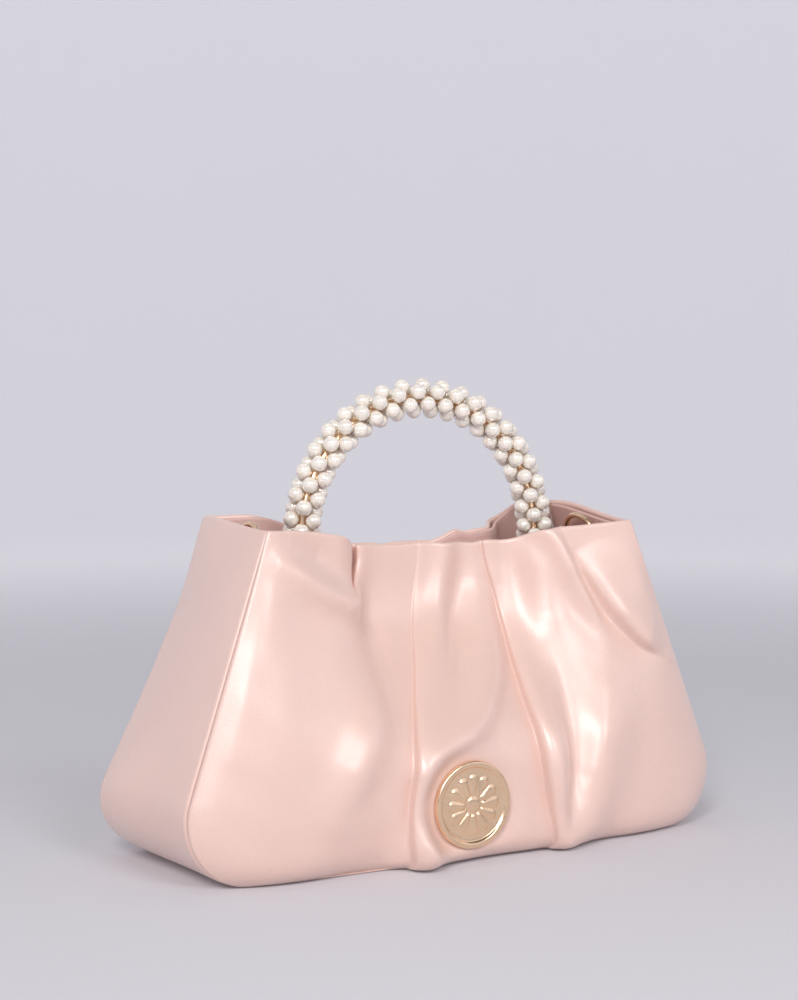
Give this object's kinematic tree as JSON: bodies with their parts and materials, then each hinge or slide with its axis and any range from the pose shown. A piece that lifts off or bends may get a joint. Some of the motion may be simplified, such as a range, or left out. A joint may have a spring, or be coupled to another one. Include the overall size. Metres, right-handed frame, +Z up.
{
  "type": "top-handle handbag",
  "caption": "Small gathered leather handbag with a pleated front, a magnetic mouth, an arched bead-covered handle and a round gold medallion",
  "frame": {"origin": "middle of the flat base strip on the surface that the bag stands on", "axes": "+Z up, +X along the bag's length to the right as seen from the front, the front panel with the medallion faces -Y"},
  "size_m": [0.26, 0.1052, 0.2002],
  "materials": {
    "blush_leather": "smooth leather with a soft pearl finish, blush pink",
    "facing_leather": "smooth blush pink leather, slightly darker",
    "lining_cloth": "fine woven beige twill",
    "board": "grey bag-base board",
    "gold_metal": "polished pale gold plating",
    "pearl": "imitation pearl, cream white lustre",
    "plated_steel": "plain nickel plated steel"
  },
  "bodies": {
    "bag": {"gusset": "blush_leather", "front_panel": "blush_leather", "back_panel": "blush_leather", "base_board": "board", "lining": "lining_cloth", "slip_pocket": "lining_cloth", "front_facing": "facing_leather", "back_facing": "facing_leather", "left_end_facing": "facing_leather", "right_end_facing": "facing_leather", "magnet_snap_male": "gold_metal", "magnet_snap_female": "gold_metal", "left_cross_strap": "facing_leather", "right_cross_strap": "facing_leather", "left_handle_bracket": "gold_metal", "right_handle_bracket": "gold_metal", "bracket_rivets": "gold_metal", "handle_pivot_pins": "gold_metal", "left_ring_tab": "facing_leather", "right_ring_tab": "facing_leather", "tab_rivets": "gold_metal", "medallion": "gold_metal", "medallion_washer": "plated_steel", "medallion_nuts": "plated_steel"},
    "handle": {"left_ferrule": "gold_metal", "right_ferrule": "gold_metal", "handle_core": "gold_metal", "handle_pearls": "pearl"},
    "left_ring": {"left_d_ring": "gold_metal"},
    "right_ring": {"right_d_ring": "gold_metal"}
  },
  "joints": [
    {"name": "handle_tilt", "type": "hinge", "parent": "bag", "child": "handle", "pos_m": [0, 0, 0.115], "axis": [1, 0, 0], "range_deg": [-18, 18]},
    {"name": "left_ring_swing", "type": "hinge", "parent": "bag", "child": "left_ring", "pos_m": [-0.08736, 0, 0.1271], "axis": [0, 1, 0], "range_deg": [0, 150]},
    {"name": "right_ring_swing", "type": "hinge", "parent": "bag", "child": "right_ring", "pos_m": [0.08736, 0, 0.1271], "axis": [0, -1, 0], "range_deg": [0, 150]}
  ]
}
